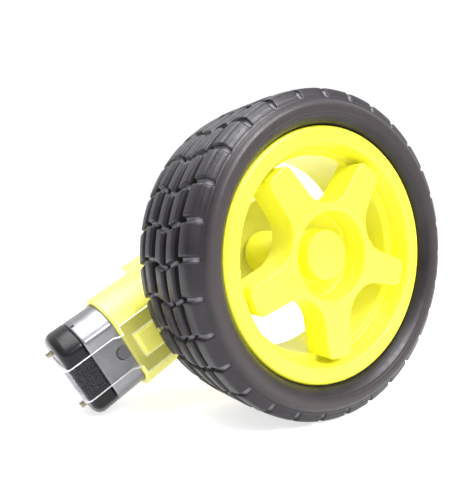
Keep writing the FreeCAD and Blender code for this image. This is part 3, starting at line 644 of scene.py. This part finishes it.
def strap_clear():
    """Clear film: a faint smoky veil face on, more opaque and painted milky at glancing angles as a painted sheen.
    """
    recipe = Recipe("strap_clear")
    glancing = recipe.add("LayerWeight")
    glancing.inputs["Blend"].default_value = 0.5
    tilt = recipe.spread(glancing.outputs["Facing"], 0, 1, 0.3, 0.9)
    # the milky colour at glancing angles is a painted sheen
    recipe.set(Base_Color=recipe.layer(STRAP_SMOKE, STRAP_GLANCING_SHEEN, tilt),
               Alpha=recipe.spread(tilt, *STRAP_ALPHA, 0, 1),
               Specular_IOR_Level=0.25,
               Roughness=recipe.spread(recipe.noise(2.0, 3), 0.05, 0.12),
               Normal=recipe.bump(recipe.noise(2.5, 2), 0.02))
    return recipe.material


def strap_edge():
    """The strap's edges, painted milky white with a faint glow as a painted highlight."""
    recipe = Recipe("strap_edge")
    recipe.set(Base_Color=STRAP_EDGE_PAINTED_HIGHLIGHT, Alpha=0.75,
               Roughness=recipe.spread(recipe.noise(0.5, 2), 0.2, 0.4),
               Emission_Color=(1, 1, 1, 1), Emission_Strength=0.3)
    return recipe.material


def paint(piece, material):
    piece.data.materials.clear()
    piece.data.materials.append(material)


def paint_all(visible):
    slots = {
        "tyre_rubber": tyre_rubber(),
        "rim_yellow": rim_yellow(),
        "case_yellow": case_yellow(),
        "foam": moulded_plastic("foam", FOAM_SHADES, (0.8, 0.95), depth=0.2).material,
        "gear_white": moulded_plastic("gear_white", GEAR_SHADES, (0.35, 0.5), 0.2).material,
        "cap_black": cap_black(),
        "can_steel": can_steel(),
        "strap_clear": strap_clear(),
    }
    for name, shades, rough, streak in PLAIN_METALS:
        slots[name] = metal(name, shades, rough, streak).material
    for piece in visible:
        paint(piece, slots[piece["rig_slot"]])
    for part in frame["record"]["subparts"]:
        paint(NODES[part["node"]], slots[part["material_slot"]])


# ---- camera and light ------------------------------------------------------------------

VIEW_AZIMUTH = -32.4
VIEW_ELEVATION = 2.58
VIEW_ROLL = -1.62
VIEW_DISTANCE = 127.22
VIEW_SHIFT = (-0.64, 0.36)      # sideways and up from the aim point
VIEW_AIM = (0.0, CASE_Y, 0.0)
LENS = 36.34
SENSOR_WIDTH = 36.0
CLIP = (0.005, 20.0)            # metres, nearest and furthest that the camera sees


def camera():
    azimuth, elevation, roll = (math.radians(v) for v in (VIEW_AZIMUTH, VIEW_ELEVATION, VIEW_ROLL))
    back = Vector((math.sin(azimuth) * math.cos(elevation),
                   -math.cos(azimuth) * math.cos(elevation), math.sin(elevation)))
    right = Vector((math.cos(azimuth), math.sin(azimuth), 0))
    up = back.cross(right)
    place = Vector(VIEW_AIM) + right * VIEW_SHIFT[0] + up * VIEW_SHIFT[1] + back * VIEW_DISTANCE
    tilted_right = right * math.cos(roll) + up * math.sin(roll)
    tilted_up = up * math.cos(roll) - right * math.sin(roll)
    data = bpy.data.cameras.new("camera")
    data.lens = LENS
    data.sensor_width = SENSOR_WIDTH
    data.clip_start, data.clip_end = CLIP
    eye = bpy.data.objects.new("camera", data)
    turn = Matrix((tilted_right, tilted_up, back)).transposed().to_4x4()
    eye.matrix_world = Matrix.Translation(place * MM) @ turn
    bpy.context.scene.collection.objects.link(eye)
    bpy.context.scene.camera = eye


WORLD_BEHIND = (0.535, 0.845, 0.0)     # the direction in which the background is white
WORLD_ABOVE = (0.0, 0.0, 1.0)
WORLD_FRONT_LIGHT = 0.40
WORLD_WHITE = 1.04
WORLD_FADE = (0.05, 0.65)              # how squarely a direction faces those two, dim and white

# metres and watts: name, place, side of the square, power
LAMPS = (("key_light", (0.05, -0.52, 0.45), 0.30, 7.0),
         ("top_light", (-0.15, 0.05, 0.50), 0.40, 3.5))
LAMP_AIM = (0.0, -0.02, 0.0)


def area_light(name, place, side, power):
    data = bpy.data.lights.new(name, "AREA")
    data.shape = "RECTANGLE"
    data.size = side
    data.size_y = side
    data.energy = power
    lamp = bpy.data.objects.new(name, data)
    lamp.location = place
    towards = Vector(LAMP_AIM) - Vector(place)
    lamp.rotation_euler = towards.to_track_quat("-Z", "Y").to_euler()
    bpy.context.scene.collection.objects.link(lamp)


def studio():
    """White surroundings behind and above the object, dimmer in front of it."""
    world = bpy.data.worlds.new("studio")
    world.use_nodes = True
    tree = world.node_tree
    heading = tree.nodes.new("ShaderNodeTexCoord").outputs["Generated"]
    levels = []
    for direction in (WORLD_BEHIND, WORLD_ABOVE):
        facing = tree.nodes.new("ShaderNodeVectorMath")
        facing.operation = "DOT_PRODUCT"
        tree.links.new(heading, facing.inputs[0])
        facing.inputs[1].default_value = direction
        levels.append(facing.outputs["Value"])
    brighter = tree.nodes.new("ShaderNodeMath")
    brighter.operation = "MAXIMUM"
    for level, socket in zip(levels, brighter.inputs):
        tree.links.new(level, socket)
    shade = tree.nodes.new("ShaderNodeMapRange")
    shade.interpolation_type = "SMOOTHSTEP"
    for key, number in (("From Min", WORLD_FADE[0]), ("From Max", WORLD_FADE[1]),
                        ("To Min", WORLD_FRONT_LIGHT), ("To Max", WORLD_WHITE)):
        shade.inputs[key].default_value = number
    tree.links.new(brighter.outputs["Value"], shade.inputs["Value"])
    tree.links.new(shade.outputs["Result"], tree.nodes["Background"].inputs["Strength"])
    tree.nodes["Background"].inputs["Color"].default_value = (1, 1, 1, 1)
    bpy.context.scene.world = world
    for lamp in LAMPS:
        area_light(*lamp)
    bpy.context.scene.view_settings.view_transform = "Standard"


FLOOR_EDGES = ((-0.30, 1.5), (-0.22, 1.5))     # metres, from and to, along X and along Y
FLOOR_SHADES = ((0.48, 0.48, 0.48), (0.52, 0.52, 0.52))


def floor():
    (left, right), (front, back) = FLOOR_EDGES
    corners = [(left, front, FLOOR_Z), (right, front, FLOOR_Z),
               (right, back, FLOOR_Z), (left, back, FLOOR_Z)]
    mesh = bpy.data.meshes.new("floor")
    mesh.from_pydata(corners, [], [(0, 1, 2, 3)])
    slab = bpy.data.objects.new("floor", mesh)
    bpy.context.scene.collection.objects.link(slab)
    recipe = Recipe("floor_white")
    recipe.set(Base_Color=recipe.tint(recipe.noise(60, 3), FLOOR_SHADES),
               Roughness=recipe.spread(recipe.noise(20, 3), 0.7, 0.8),
               Specular_IOR_Level=0.1, Emission_Color=(1, 1, 1, 1), Emission_Strength=0.72)
    paint(slab, recipe.material)


shown = [
    tyre_piece(),
    softened(RIM_NODES, "rim_moulded", "wheel", "rim_yellow", RIM_ROUNDS),
    softened(["case_wheel_side"], "case_wheel_side_moulded", "gearmotor", "case_yellow", CASE_ROUNDS),
    softened(["case_inner_side"], "case_inner_side_moulded", "gearmotor", "case_yellow", CASE_ROUNDS),
    motor_can_piece(),
    end_cap_piece(),
]
strap = strap_piece()
shown.append(strap)
paint_all(shown)
strap.data.materials.append(strap_edge())
camera()
studio()
floor()
